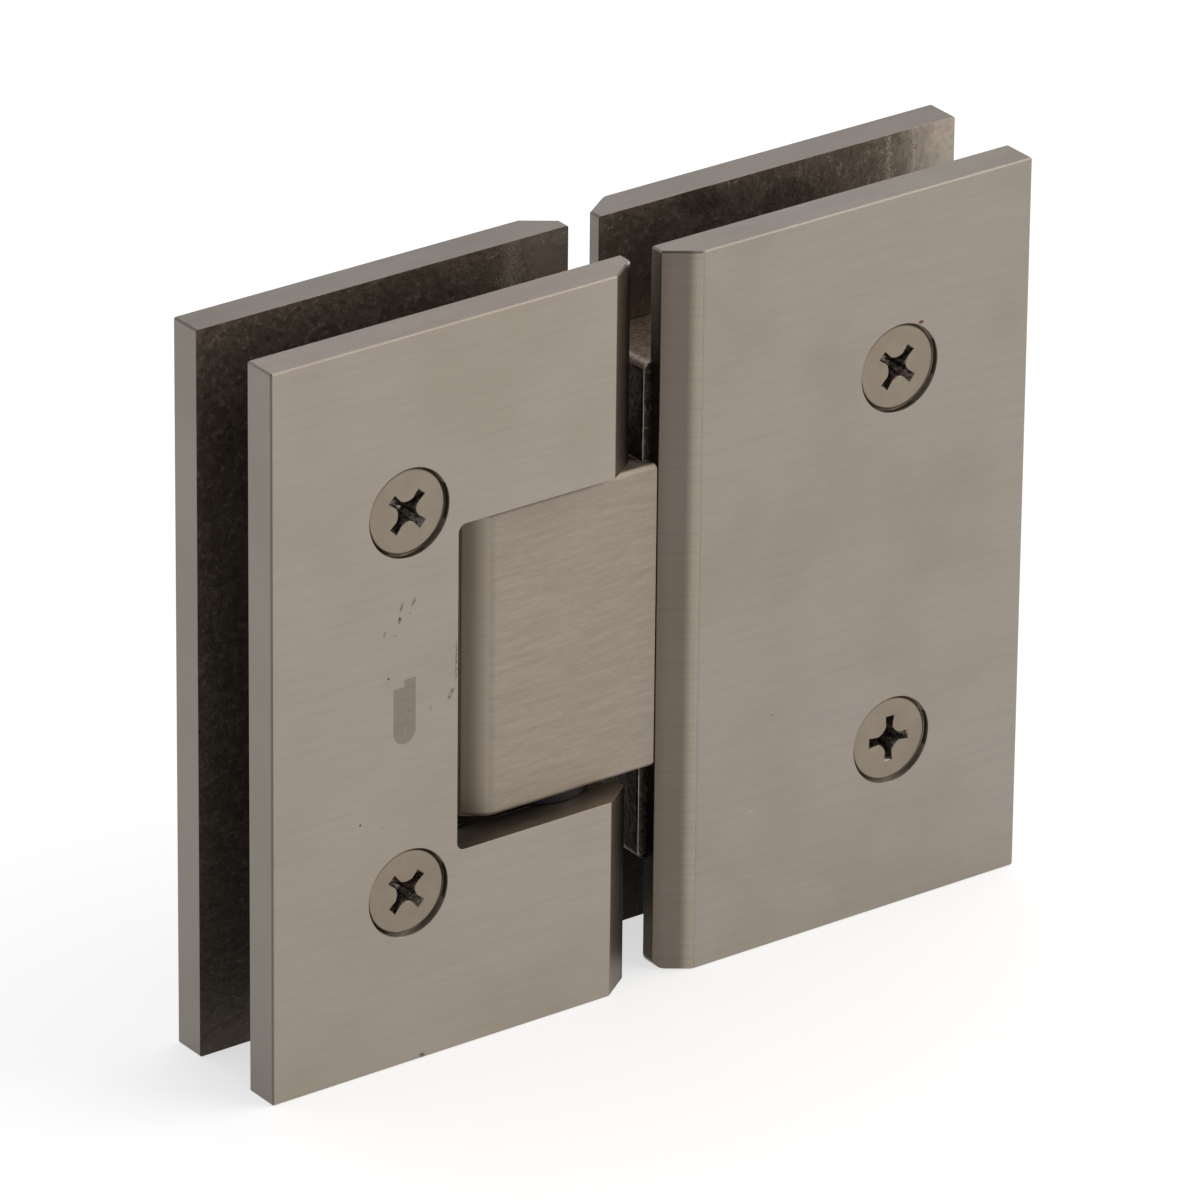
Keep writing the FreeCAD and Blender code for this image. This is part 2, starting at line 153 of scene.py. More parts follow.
# %% [markdown]
# ## Floor and light
#
# Metal shows what stands round it, so the studio matters as much as the finish. The room is a pale
# dome, brightest to the right and behind, and dimmest on the photographer's side, which is what the
# bevels along the gap reflect. The dome is a world shader: a base brightness plus a few broad
# patches, each a power of the cosine between the direction looked in and the patch's own.
#
# The floor is white card. It glows for the camera and for reflections so that it reads as white in
# both, and part of its brightness is real light, so that it keeps the hinge's shadow.

# %% Studio dome
DOME_BASE = 0.26
DOME_PATCHES = [
    {"towards": (0.95, -0.25, 0.15), "strength": 0.85, "power": 1.5, "colour": "#fffaf4"},
    {"towards": (0.30, 0.75, 0.60), "strength": 0.42, "power": 2.0, "colour": "#e2ebff"},
    {"towards": (-0.70, 0.60, 0.25), "strength": 0.30, "power": 3.0, "colour": "#fff6ee"},
]

world = bpy.data.worlds.new("studio_dome")
world.use_nodes = True
bpy.context.scene.world = world
tree = world.node_tree
tree.nodes.clear()
looked_in = add_node(tree, "ShaderNodeTexCoord")
total = add_node(tree, "ShaderNodeRGB")
total.outputs[0].default_value = (DOME_BASE, DOME_BASE, DOME_BASE, 1.0)
for patch in DOME_PATCHES:
    length = math.sqrt(sum(c * c for c in patch["towards"]))
    towards = tuple(c / length for c in patch["towards"])
    cosine = add_node(tree, "ShaderNodeVectorMath", {
        0: (looked_in, "Generated"), 1: towards}, operation="DOT_PRODUCT")
    lit_side = add_node(tree, "ShaderNodeMath", {0: (cosine, "Value"), 1: 0.0}, operation="MAXIMUM")
    falloff = add_node(tree, "ShaderNodeMath", {0: (lit_side, 0), 1: patch["power"]}, operation="POWER")
    level = add_node(tree, "ShaderNodeMath", {0: (falloff, 0), 1: patch["strength"]}, operation="MULTIPLY")
    glow = add_node(tree, "ShaderNodeVectorMath", {
        0: linear(patch["colour"])[:3], "Scale": (level, 0)}, operation="SCALE")
    total = add_node(tree, "ShaderNodeVectorMath", {0: (total, 0), 1: (glow, 0)}, operation="ADD")
dome = add_node(tree, "ShaderNodeBackground", {"Color": (total, 0), "Strength": 1.0})
add_node(tree, "ShaderNodeOutputWorld", {"Surface": (dome, 0)})
print("dome patches:", len(DOME_PATCHES))

# %% White card floor
FLOOR_HALF = 3.0
FLOOR_GLOW = 0.62
card = bpy.data.materials.new("white_card")
card.use_nodes = True
tree = card.node_tree
tree.nodes.clear()
ray = add_node(tree, "ShaderNodeLightPath")
seen_or_mirrored = add_node(tree, "ShaderNodeMath", {
    0: (ray, "Is Camera Ray"), 1: (ray, "Is Glossy Ray")}, operation="MAXIMUM")
shown = add_node(tree, "ShaderNodeMath", {
    0: (seen_or_mirrored, 0), 1: (ray, "Is Transmission Ray")}, operation="MAXIMUM")
matt = add_node(tree, "ShaderNodeBsdfDiffuse", {"Color": linear("#e6e6e6")})
half_matt = add_node(tree, "ShaderNodeBsdfDiffuse", {"Color": linear("#d4d4d4")})
glow = add_node(tree, "ShaderNodeEmission", {"Color": (1.0, 1.0, 1.0, 1.0), "Strength": FLOOR_GLOW})
paper = add_node(tree, "ShaderNodeAddShader", {0: (half_matt, 0), 1: (glow, 0)})
mixed = add_node(tree, "ShaderNodeMixShader", {0: (shown, 0), 1: (matt, 0), 2: (paper, 0)})
add_node(tree, "ShaderNodeOutputMaterial", {"Surface": (mixed, 0)})

floor_mesh = bpy.data.meshes.new("floor")
floor_level = cad_low.z
corners = [(x * FLOOR_HALF, y * FLOOR_HALF, floor_level) for x, y in ((-1, -1), (1, -1), (1, 1), (-1, 1))]
floor_mesh.from_pydata(corners, [], [(0, 1, 2, 3)])
floor_mesh.materials.append(card)
floor = bpy.data.objects.new("floor", floor_mesh)
bpy.context.scene.collection.objects.link(floor)
print("floor at", round(floor_level / MM, 1), "mm")

# %% Softbox
softbox_light = bpy.data.lights.new("softbox", "AREA")
softbox_light.shape = "RECTANGLE"
softbox_light.size = 1.2
softbox_light.size_y = 0.8
softbox_light.energy = 6.0
softbox_light.color = linear("#fffaf4")[:3]
softbox = bpy.data.objects.new("softbox", softbox_light)
softbox.location = (1.1, -0.7, 1.2)
aim = -softbox.location
softbox.rotation_euler = aim.to_track_quat("-Z", "Y").to_euler()
bpy.context.scene.collection.objects.link(softbox)
print("softbox", softbox_light.energy, "W")

# %% [markdown]
# ## Marks of wear and painted light
#
# A used sample has flecks, scratches and a dull spot where something was stuck on. The same marks also
# lay painted highlights, painted sheen and painted shade. Each mark is an ellipse or a box seen from the
# front, given in mm: a Mapping node brings it to the unit circle, so that the distance from its middle
# is 1 at its rim. From the rim in to the core, a share of that distance, the mark fades in. Ragged marks
# read the same place shaken by fine noise and are broken up by a second noise, as dirt caught in
# brushing is.


# %% Wear mark masks
DEFAULT_CORE = 0.6
SHAKE_SCALE = 3500.0
SHAKE_REACH = 0.7
GRIT_SCALE = 4200.0


def wear_and_light_mark(at, half, colour, strength, **shape):
    """One mark: middle and half sizes in mm, colour and strength. shape: lean, core, ragged, box."""
    return {"at": at, "half": half, "colour": colour, "strength": strength, **shape}


def mark_mask(tree, place, shaken, speckle, mark):
    """Mask of one mark: its strength inside, 0 outside.

    The distance that it goes by is the vector's length, or the larger of its two sides for a box.
    """
    x, z = mark["at"]
    half_x, half_z = mark["half"]
    ragged = mark.get("ragged", False)
    here = add_node(tree, "ShaderNodeMapping", {
        "Vector": (shaken, 0) if ragged else (place, "Object"),
        "Location": (x * MM, 0.0, z * MM),
        "Rotation": (0.0, math.radians(mark.get("lean", 0.0)), 0.0),
        "Scale": (half_x * MM, 1.0, half_z * MM)}, vector_type="TEXTURE")
    if mark.get("box", False):
        sides = add_node(tree, "ShaderNodeVectorMath", {0: (here, 0)}, operation="ABSOLUTE")
        split = add_node(tree, "ShaderNodeSeparateXYZ", {0: (sides, 0)})
        distance = add_node(tree, "ShaderNodeMath", {0: (split, "X"), 1: (split, "Z")}, operation="MAXIMUM")
        reach = (distance, 0)
    else:
        distance = add_node(tree, "ShaderNodeVectorMath", {0: (here, 0)}, operation="LENGTH")
        reach = (distance, "Value")
    inside = add_node(tree, "ShaderNodeMapRange", {
        "Value": reach, "From Min": 1.0, "From Max": mark.get("core", DEFAULT_CORE),
        "To Min": 0.0, "To Max": mark["strength"]})
    if not ragged:
        return inside
    return add_node(tree, "ShaderNodeMath", {0: (inside, 0), 1: (speckle, 0)}, operation="MULTIPLY")


def with_marks(tree, place, tone, marks):
    """Colour with the marks laid over it one after the other."""
    shake = add_node(tree, "ShaderNodeTexNoise", {
        "Vector": (place, "Object"), "Scale": SHAKE_SCALE, "Detail": 2.0})
    centred = add_node(tree, "ShaderNodeVectorMath", {
        0: (shake, "Color"), 1: (0.5, 0.5, 0.5)}, operation="SUBTRACT")
    moved = add_node(tree, "ShaderNodeVectorMath", {
        0: (centred, 0), "Scale": SHAKE_REACH * MM}, operation="SCALE")
    shaken = add_node(tree, "ShaderNodeVectorMath", {
        0: (place, "Object"), 1: (moved, 0)}, operation="ADD")
    grit = add_node(tree, "ShaderNodeTexNoise", {
        "Vector": (place, "Object"), "Scale": GRIT_SCALE, "Detail": 1.0})
    speckle = add_node(tree, "ShaderNodeMapRange", {"Value": (grit, 0), "From Min": 0.40, "From Max": 0.56})
    for mark in marks:
        mask = mark_mask(tree, place, shaken, speckle, mark)
        mixed = add_node(tree, "ShaderNodeMix", {
            MIX_FACTOR: (mask, 0), MIX_A: tone, MIX_B: linear(mark["colour"])}, data_type="RGBA")
        tone = (mixed, MIX_RESULT)
    return tone


print("mark helpers ready, a ragged mark is shaken by", SHAKE_REACH / 2, "mm at most")

# %% [markdown]
# The door's face has the dull spot, left of the notch and made of two boxes and an ellipse, with a
# few faint lines in it. Above it are dark flecks, and beside the notch are scuffs. The panel's face
# has one fine scratch, the painted shade of a small dent, and a brown speck just above its upper screw.

# %% Marks on the front faces
DARK_FLECK = "#3a3029"
SCUFF = "#5d5249"
DULL_SPOT = "#877e74"
SPOT_LINE = "#70685f"
DOOR_MARKS = [
    wear_and_light_mark((-34.60, -0.42), (1.55, 2.85), DULL_SPOT, 0.95, box=True, core=0.95),
    wear_and_light_mark((-33.87, 2.60), (0.82, 0.66), DULL_SPOT, 0.95, box=True, core=0.90),
    wear_and_light_mark((-34.60, -3.15), (1.55, 1.60), DULL_SPOT, 0.95, core=0.93),
    wear_and_light_mark((-34.60, 0.75), (1.50, 0.06), SPOT_LINE, 0.4, lean=-3, box=True),
    wear_and_light_mark((-34.60, -2.30), (1.50, 0.08), SPOT_LINE, 0.5, lean=-3, box=True),
    wear_and_light_mark((-35.20, -0.80), (0.40, 0.10), SPOT_LINE, 0.6),
    wear_and_light_mark((-33.90, -0.72), (0.45, 0.10), SPOT_LINE, 0.6),
    wear_and_light_mark((-34.55, -2.95), (0.09, 0.55), "#a89f94", 0.5),
    wear_and_light_mark((-35.05, 12.30), (0.17, 0.60), DARK_FLECK, 0.8, lean=9, ragged=True, core=0.8),
    wear_and_light_mark((-35.28, 10.85), (0.22, 0.50), DARK_FLECK, 1.0, lean=8, ragged=True, core=0.8),
    wear_and_light_mark((-33.40, 12.55), (0.15, 0.55), DARK_FLECK, 0.7, lean=18, ragged=True, core=0.8),
    wear_and_light_mark((-33.90, 11.25), (0.14, 0.20), SCUFF, 0.5),
    wear_and_light_mark((-37.30, 9.50), (0.14, 0.42), DARK_FLECK, 0.7, lean=15, ragged=True, core=0.8),
    wear_and_light_mark((-35.87, 9.00), (0.38, 0.15), "#7c7269", 0.5),
    wear_and_light_mark((-36.80, 3.95), (0.15, 0.20), DARK_FLECK, 0.95),
    wear_and_light_mark((-37.00, 3.45), (0.12, 0.18), DARK_FLECK, 0.6, ragged=True, core=0.8),
    wear_and_light_mark((-27.62, 3.60), (0.17, 3.00), SCUFF, 0.8, lean=1, ragged=True),
    wear_and_light_mark((-28.35, -0.20), (0.34, 1.00), SCUFF, 0.8, lean=36, ragged=True),
    wear_and_light_mark((-31.10, -1.20), (0.20, 0.40), SCUFF, 0.6, lean=40, ragged=True),
    wear_and_light_mark((-40.61, -13.15), (0.17, 0.17), DARK_FLECK, 0.95),
    wear_and_light_mark((-37.56, -14.23), (0.10, 0.10), DARK_FLECK, 0.5),
    wear_and_light_mark((-32.05, -44.60), (0.50, 0.35), DARK_FLECK, 0.9, ragged=True, core=0.8),
]
PANEL_MARKS_AND_DENT_SHADE = [
    wear_and_light_mark((13.87, -26.93), (0.90, 0.06), "#c3bab0", 0.7, lean=-2),
    # Painted shade of a small dent
    wear_and_light_mark((16.70, -15.50), (0.22, 0.14), "#6a6057", 0.6),
    wear_and_light_mark((36.95, 28.50), (0.42, 0.26), "#6a4630", 0.95, core=0.7),
]
print("wear marks:", len(DOOR_MARKS) + len(PANEL_MARKS_AND_DENT_SHADE))

# %% [markdown]
# ## Brushed nickel
#
# The plates are brass, brushed with an abrasive belt along X and then plated with satin nickel. The
# eye gets three things from that: fine streaks a few millimetres long and about 0.1 mm wide, a shine
# that is drawn out across the grooves, and a warm grey that is slightly uneven where the belt
# pressed less.
#
# A noise texture stretched along one axis gives the streaks. One copy of it is fine, one is broad,
# and both drive the colour, the roughness and a very small bump. The streaks are drawn a little
# wider than real ones, so that they show. The drawn-out shine is the shader's anisotropy. Its tangent
# is worked out at each point, as the surface's normal crossed with the direction of the grooves,
# which turns with the leaf when the door swings. Nickel is a metal, so metallic is 1 and its colour
# is the colour of its reflections.
#
# Bands are smooth changes of colour across a bevel or along a side. They paint light and shade, as a
# rolled-over edge or a deep gap takes it. They are read from the piece's own coordinates, so they stay
# on it when it moves.


# %% Brushed nickel material
# Range of the sum of both streak noises
STREAK_LOW = 0.6
STREAK_HIGH = 1.4
BROAD_FACTORS = (5, 4, 4)
ROUGHNESS_SPREAD = 0.05
BLOTCH_SCALE = 70.0
BLOTCH_SHARE = 0.7


def with_bands(tree, place, finish, bands):
    """Tone that turns smoothly to each band's colour between two places, in mm along |x| or z."""
    split = add_node(tree, "ShaderNodeSeparateXYZ", {0: (place, "Object")})
    sideways = add_node(tree, "ShaderNodeMath", {0: (split, "X")}, operation="ABSOLUTE")
    read = {"X": (sideways, 0), "Z": (split, "Z")}
    for axis, start, end, colour in bands:
        share = add_node(tree, "ShaderNodeMapRange", {
            "Value": read[axis], "From Min": start * MM, "From Max": end * MM},
            interpolation_type="SMOOTHSTEP")
        mixed = add_node(tree, "ShaderNodeMix", {
            MIX_FACTOR: (share, 0), MIX_A: finish, MIX_B: linear(colour)}, data_type="RGBA")
        finish = (mixed, MIX_RESULT)
    return finish


def brushed_nickel(name, colour, blotch_colour, streak, contrast, roughness, drawn_out, bump_height,
                   marks=(), bands=()):
    """Metal with stretched noise for streaks. streak is the streaks' size along X, Y and Z in mm.

    Colour = (colour mixed with blotch_colour, bands and marks) * (1 + or - contrast by the streaks).
    drawn_out is the anisotropy, and bump_height the depth of the grooves in mm.
    """
    material = bpy.data.materials.new(name)
    material.use_nodes = True
    tree = material.node_tree
    tree.nodes.clear()
    place = add_node(tree, "ShaderNodeTexCoord")
    fine_scale = tuple(1 / (size * MM) for size in streak)
    broad_scale = tuple(1 / (size * MM * factor) for size, factor in zip(streak, BROAD_FACTORS))
    fine_at = add_node(tree, "ShaderNodeMapping", {"Vector": (place, "Object"), "Scale": fine_scale})
    broad_at = add_node(tree, "ShaderNodeMapping", {"Vector": (place, "Object"), "Scale": broad_scale})
    fine = add_node(tree, "ShaderNodeTexNoise", {
        "Vector": (fine_at, 0), "Scale": 1.0, "Detail": 3.0, "Roughness": 0.6})
    broad = add_node(tree, "ShaderNodeTexNoise", {"Vector": (broad_at, 0), "Scale": 1.0, "Detail": 2.0})
    both = add_node(tree, "ShaderNodeMath", {0: (fine, 0), 1: (broad, 0)}, operation="ADD")
    level = add_node(tree, "ShaderNodeMapRange", {
        "Value": (both, 0), "From Min": STREAK_LOW, "From Max": STREAK_HIGH,
        "To Min": 1 - contrast, "To Max": 1 + contrast})
    blotch = add_node(tree, "ShaderNodeTexNoise", {
        "Vector": (place, "Object"), "Scale": BLOTCH_SCALE, "Detail": 3.0})
    blotch_mask = add_node(tree, "ShaderNodeMapRange", {
        "Value": (blotch, 0), "From Min": 0.42, "From Max": 0.68, "To Min": 0.0, "To Max": BLOTCH_SHARE})
    tone = add_node(tree, "ShaderNodeMix", {
        MIX_FACTOR: (blotch_mask, 0), MIX_A: linear(colour), MIX_B: linear(blotch_colour)},
        data_type="RGBA")
    finish = with_bands(tree, place, (tone, MIX_RESULT), bands)
    if marks:
        finish = with_marks(tree, place, finish, marks)
    streaked = add_node(tree, "ShaderNodeVectorMath", {0: finish, "Scale": (level, 0)}, operation="SCALE")
    rough = add_node(tree, "ShaderNodeMapRange", {
        "Value": (both, 0), "From Min": STREAK_LOW, "From Max": STREAK_HIGH,
        "To Min": roughness - ROUGHNESS_SPREAD, "To Max": roughness + ROUGHNESS_SPREAD})
    grooves = add_node(tree, "ShaderNodeBump", {
        "Height": (both, 0), "Strength": 1.0, "Distance": bump_height * MM})
    surface = add_node(tree, "ShaderNodeNewGeometry")
    along = add_node(tree, "ShaderNodeVectorTransform", {"Vector": (1.0, 0.0, 0.0)},
                     vector_type="VECTOR", convert_from="OBJECT", convert_to="WORLD")
    across = add_node(tree, "ShaderNodeVectorMath", {
        0: (surface, "Normal"), 1: (along, 0)}, operation="CROSS_PRODUCT")
    metal = add_node(tree, "ShaderNodeBsdfPrincipled", {
        "Base Color": (streaked, 0), "Metallic": 1.0, "Roughness": (rough, 0), "Anisotropic": drawn_out,
        "Tangent": (across, 0), "Normal": (grooves, 0)})
    add_node(tree, "ShaderNodeOutputMaterial", {"Surface": (metal, 0)})
    return material


print("streaks differ in roughness by", 2 * ROUGHNESS_SPREAD)

# %% [markdown]
# The large faces get long, fine streaks of low contrast. The door's face is a little lighter than
# the panel's, and the back faces, which have no marks, a little darker.

# %% Finishes of the large faces
FACE_LOOK = {
    "streak": (2.2, 0.5, 0.17), "contrast": 0.08, "roughness": 0.44, "drawn_out": 0.80, "bump_height": 0.004}
panel_face = brushed_nickel(
    "brushed_nickel_panel_face", "#9d958c", "#978e83", marks=PANEL_MARKS_AND_DENT_SHADE, **FACE_LOOK)
door_face = brushed_nickel(
    "brushed_nickel_door_face", "#a2998f", "#9c9286", marks=DOOR_MARKS, **FACE_LOOK)
plain_face = brushed_nickel("brushed_nickel_back_face", "#958d85", "#8f867d", **FACE_LOOK)
face_finishes = [panel_face, door_face, plain_face]
print("face finishes:", len(face_finishes))

# %% [markdown]
# The bevels are ground by a coarser wheel after the faces, straight across, which leaves streaks as
# long as the bevel is wide. Their tone is darker and browner than the faces' as painted shade, on top
# of the dim side of the room that they reflect. Hand grinding also rolls them over softly, and bands
# paint that roll's light and shade beside each kink: on the panel painted shade towards the gap and
# painted light by the kink, where the tone runs into the faces' tone over a millimetre or two, and on
# the door painted shade towards the gap. The door's bevel has a painted highlight on a worn corner at
# its top and a pale patch near its foot.
#
# The knuckle block has shorter, coarser marks and a yellower tone. Its bevels get the same darker
# painted shade, and painted light by the kink.

# %% Bevels and block
BEVEL_LOOK = {"streak": (7.0, 6.0, 0.15), "roughness": 0.42, "drawn_out": 0.80, "bump_height": 0.005}
# Bands of painted shade towards the gap and painted light by the kink
PANEL_BEVEL_LIGHT_AND_SHADE = [("X", 3.4, 2.1, "#74695e"), ("X", 4.5, 5.6, "#aba091")]
DOOR_BEVEL_SHADE = [("X", 5.7, 3.9, "#665a4f"), ("X", 3.9, 2.5, "#372e26")]
BLOCK_BEVEL_LIGHT = [("X", 23.1, 20.8, "#a19688")]
# A painted highlight on the worn top corner of the door's bevel, and a pale patch near its foot
BEVEL_HIGHLIGHT_AND_PATCH = [
    wear_and_light_mark((-2.60, 44.70), (0.70, 0.35), "#e4e6e4", 0.9, ragged=True),
    wear_and_light_mark((-3.30, -41.50), (1.60, 5.50), "#8f8a85", 0.45, lean=-6, core=0.0),
]
# The bevels' darker, browner colours are partly painted shade
panel_bevel = brushed_nickel(
    "ground_nickel_panel_bevel", "#7c7268", "#776d62", contrast=0.14, bands=PANEL_BEVEL_LIGHT_AND_SHADE, **BEVEL_LOOK)
door_bevel = brushed_nickel(
    "ground_nickel_door_bevel", "#7a6f63", "#74695d", contrast=0.12,
    bands=DOOR_BEVEL_SHADE, marks=BEVEL_HIGHLIGHT_AND_PATCH, **BEVEL_LOOK)
door_back_bevel = brushed_nickel(
    "ground_nickel_door_back_bevel", "#7a6f63", "#74695d", contrast=0.12, bands=DOOR_BEVEL_SHADE, **BEVEL_LOOK)
block_face = brushed_nickel(
    "brushed_nickel_block", "#9b9084", "#998d7e",
    streak=(0.9, 0.5, 0.14), contrast=0.17, roughness=0.44, drawn_out=0.80, bump_height=0.008)
block_bevel = brushed_nickel(
    "ground_nickel_block_bevel", "#6f6458", "#6a5f52", bands=BLOCK_BEVEL_LIGHT,
    streak=(5.0, 5.0, 0.18), contrast=0.12, roughness=0.42, drawn_out=0.80, bump_height=0.006)
ground_finishes = [panel_bevel, door_bevel, door_back_bevel, block_face, block_bevel]
print("bevel and block finishes:", len(ground_finishes))

# %% [markdown]
# The narrow sides are only drawn over the belt once, along their length, so their streaks run along Z
# and their shine isn't drawn out. Their tone is darker than the faces' as painted shade. Those in the
# gap are darker and browner still, with painted light at the top and painted shade towards the foot,
# deep in the gap. The notch's walls get painted light towards the gap. The notch's walls and the
# block's far end are sawn, and rougher.

# %% Sides, notch walls and block end
SIDE_STREAK = (0.4, 0.4, 4.0)
DRAWN_LOOK = {"streak": SIDE_STREAK, "roughness": 0.40, "drawn_out": 0.0, "bump_height": 0.003}
SAWN_LOOK = {
    "streak": SIDE_STREAK, "contrast": 0.06, "roughness": 0.45, "drawn_out": 0.0, "bump_height": 0.004}
# Painted light at the top of the gap's sides and painted shade towards their foot
GAP_LIGHT_AND_SHADE = [("Z", 32.0, 45.0, "#aea090"), ("Z", -12.0, -30.0, "#3d362f")]
# Painted light on the notch's walls, growing towards the gap
NOTCH_WALL_LIGHT = [("X", 17.0, 5.0, "#b0a294")]
# The sides' tone, darker than the faces', is painted shade
drawn_side = brushed_nickel("drawn_nickel_side", "#857f76", "#7f7870", contrast=0.04, **DRAWN_LOOK)
gap_side = brushed_nickel(
    "drawn_nickel_gap_side", "#655c52", "#5f564c", contrast=0.06, bands=GAP_LIGHT_AND_SHADE, **DRAWN_LOOK)
back_gap_side = brushed_nickel(
    "drawn_nickel_back_gap_side", "#7d7770", "#76706a", contrast=0.04, **DRAWN_LOOK)
notch_wall = brushed_nickel(
    "sawn_nickel_notch_wall", "#8f857a", "#857b70", bands=NOTCH_WALL_LIGHT, **SAWN_LOOK)
block_end = brushed_nickel("sawn_nickel_block_end", "#7b6c5e", "#726455", **SAWN_LOOK)
side_finishes = [drawn_side, gap_side, back_gap_side, notch_wall, block_end]
print("side and sawn finishes:", len(side_finishes))

# %% [markdown]
# ## Cast inner faces
#
# The faces that grip the glass aren't brushed at all. They keep the skin of the casting under the
# plating: brown, blotchy, with swirls a few millimetres wide where the plating bath crept, and small
# painted glints. Noise bent by noise gives the swirls. Their lowest third is darker, painted shade deep
# in the slot, and they grow lighter towards the top edge, painted light where the slot opens. On the
# block's root the upright corners get thin painted highlights: there the normal has both an X part and
# a Y part.


# %% Cast nickel material
# Heights in mm: top and bottom of the painted shade, and where the painted light at the top edge starts
SHADE_TOP = -12.0
SHADE_BOTTOM = -36.0
RIM_START = 34.0
TOP_LIGHT_GAIN = 1.6
GLINT_COLOUR = "#9c9288"
GLINT_HALF_WIDTH = 0.010
GLINT_CORE = 0.002
CORNER_START = 0.34
CORNER_FULL = 0.49
SKIN_GRAIN_SCALE = 1500.0
SKIN_ROUGHNESS_SPREAD = 0.08


def cast_nickel(name, colour, dark_colour, corner_highlight_colour, swirl, roughness, bump_height, lowest_tone,
                marks=()):
    """Plated casting skin: two tones mixed by distorted noise with blobs swirl mm wide, and a bump.

    Thin broken painted glints lie where that noise crosses 0.5, which draws the blobs' outlines.

    Its brightness falls from 1 to lowest_tone between SHADE_TOP and SHADE_BOTTOM as painted shade low
    in the slot, and grows to TOP_LIGHT_GAIN from RIM_START to the top edge as painted light where
    the slot opens. Where the product of the normal's X and Y parts grows, as on a rounded upright
    corner, it turns to corner_highlight_colour, a painted highlight.
    """
    material = bpy.data.materials.new(name)
    material.use_nodes = True
    tree = material.node_tree
    tree.nodes.clear()
    place = add_node(tree, "ShaderNodeTexCoord")
    swirls = add_node(tree, "ShaderNodeTexNoise", {
        "Vector": (place, "Object"), "Scale": 1 / (swirl * MM), "Detail": 5.0, "Roughness": 0.62,
        "Distortion": 1.6})
    grain = add_node(tree, "ShaderNodeTexNoise", {
        "Vector": (place, "Object"), "Scale": SKIN_GRAIN_SCALE, "Detail": 3.0})
    mask = add_node(tree, "ShaderNodeMapRange", {"Value": (swirls, 0), "From Min": 0.36, "From Max": 0.62})
    tone = add_node(tree, "ShaderNodeMix", {
        MIX_FACTOR: (mask, 0), MIX_A: linear(dark_colour), MIX_B: linear(colour)}, data_type="RGBA")
    from_level = add_node(tree, "ShaderNodeMath", {0: (swirls, 0), 1: 0.5}, operation="SUBTRACT")
    off_level = add_node(tree, "ShaderNodeMath", {0: (from_level, 0)}, operation="ABSOLUTE")
    outline = add_node(tree, "ShaderNodeMapRange", {
        "Value": (off_level, 0), "From Min": GLINT_HALF_WIDTH, "From Max": GLINT_CORE})
    broken = add_node(tree, "ShaderNodeMapRange", {"Value": (grain, 0), "From Min": 0.45, "From Max": 0.60})
    glint = add_node(tree, "ShaderNodeMath", {0: (outline, 0), 1: (broken, 0)}, operation="MULTIPLY")
    glinting = add_node(tree, "ShaderNodeMix", {
        MIX_FACTOR: (glint, 0), MIX_A: (tone, MIX_RESULT), MIX_B: linear(GLINT_COLOUR)}, data_type="RGBA")
    finish = (glinting, MIX_RESULT)
    if marks:
        finish = with_marks(tree, place, finish, marks)
    split = add_node(tree, "ShaderNodeSeparateXYZ", {0: (place, "Object")})
    # Painted shade low in the slot, and painted light towards its top edge
    level = add_node(tree, "ShaderNodeMapRange", {
        "Value": (split, "Z"), "From Min": SHADE_BOTTOM * MM, "From Max": SHADE_TOP * MM,
        "To Min": lowest_tone})
    rim = add_node(tree, "ShaderNodeMapRange", {
        "Value": (split, "Z"), "From Min": RIM_START * MM, "From Max": cad_high.z,
        "To Min": 1.0, "To Max": TOP_LIGHT_GAIN})
    gain = add_node(tree, "ShaderNodeMath", {0: (level, 0), 1: (rim, 0)}, operation="MULTIPLY")
    shaded = add_node(tree, "ShaderNodeVectorMath", {0: finish, "Scale": (gain, 0)}, operation="SCALE")
    surface = add_node(tree, "ShaderNodeNewGeometry")
    own = add_node(tree, "ShaderNodeVectorTransform", {"Vector": (surface, "Normal")},
                   vector_type="NORMAL", convert_from="WORLD", convert_to="OBJECT")
    parts = add_node(tree, "ShaderNodeSeparateXYZ", {0: (own, 0)})
    product = add_node(tree, "ShaderNodeMath", {0: (parts, "X"), 1: (parts, "Y")}, operation="MULTIPLY")
    size = add_node(tree, "ShaderNodeMath", {0: (product, 0)}, operation="ABSOLUTE")
    corner = add_node(tree, "ShaderNodeMapRange", {
        "Value": (size, 0), "From Min": CORNER_START, "From Max": CORNER_FULL})
    # Painted highlight on rounded upright corners
    corner_lit = add_node(tree, "ShaderNodeMix", {
        MIX_FACTOR: (corner, 0), MIX_A: (shaded, 0), MIX_B: linear(corner_highlight_colour)}, data_type="RGBA")
    rough = add_node(tree, "ShaderNodeMapRange", {
        "Value": (grain, 0), "From Min": 0.3, "From Max": 0.7,
        "To Min": roughness - SKIN_ROUGHNESS_SPREAD, "To Max": roughness + SKIN_ROUGHNESS_SPREAD})
    height = add_node(tree, "ShaderNodeMath", {0: (swirls, 0), 1: (grain, 0)}, operation="ADD")
    skin = add_node(tree, "ShaderNodeBump", {
        "Height": (height, 0), "Strength": 0.6, "Distance": bump_height * MM})
    metal = add_node(tree, "ShaderNodeBsdfPrincipled", {
        "Base Color": (corner_lit, MIX_RESULT), "Metallic": 1.0, "Roughness": (rough, 0), "Normal": (skin, 0)})
    add_node(tree, "ShaderNodeOutputMaterial", {"Surface": (metal, 0)})
    return material


print("stained from", SHADE_TOP, "mm down to", SHADE_BOTTOM, "mm")

# %% [markdown]
# Of the inner faces only the strips above and beside the front plates show. The panel's has dark
# patches and a small pale mark, and towards its outer end a large painted sheen with two painted
# highlight streaks; the door's has one painted sheen strip. The root's front lies deep in the gap and
# gets a nearly black painted shade, while its top gets a light painted highlight: the root's finishes
# are lit and shaded copies of one cast finish.

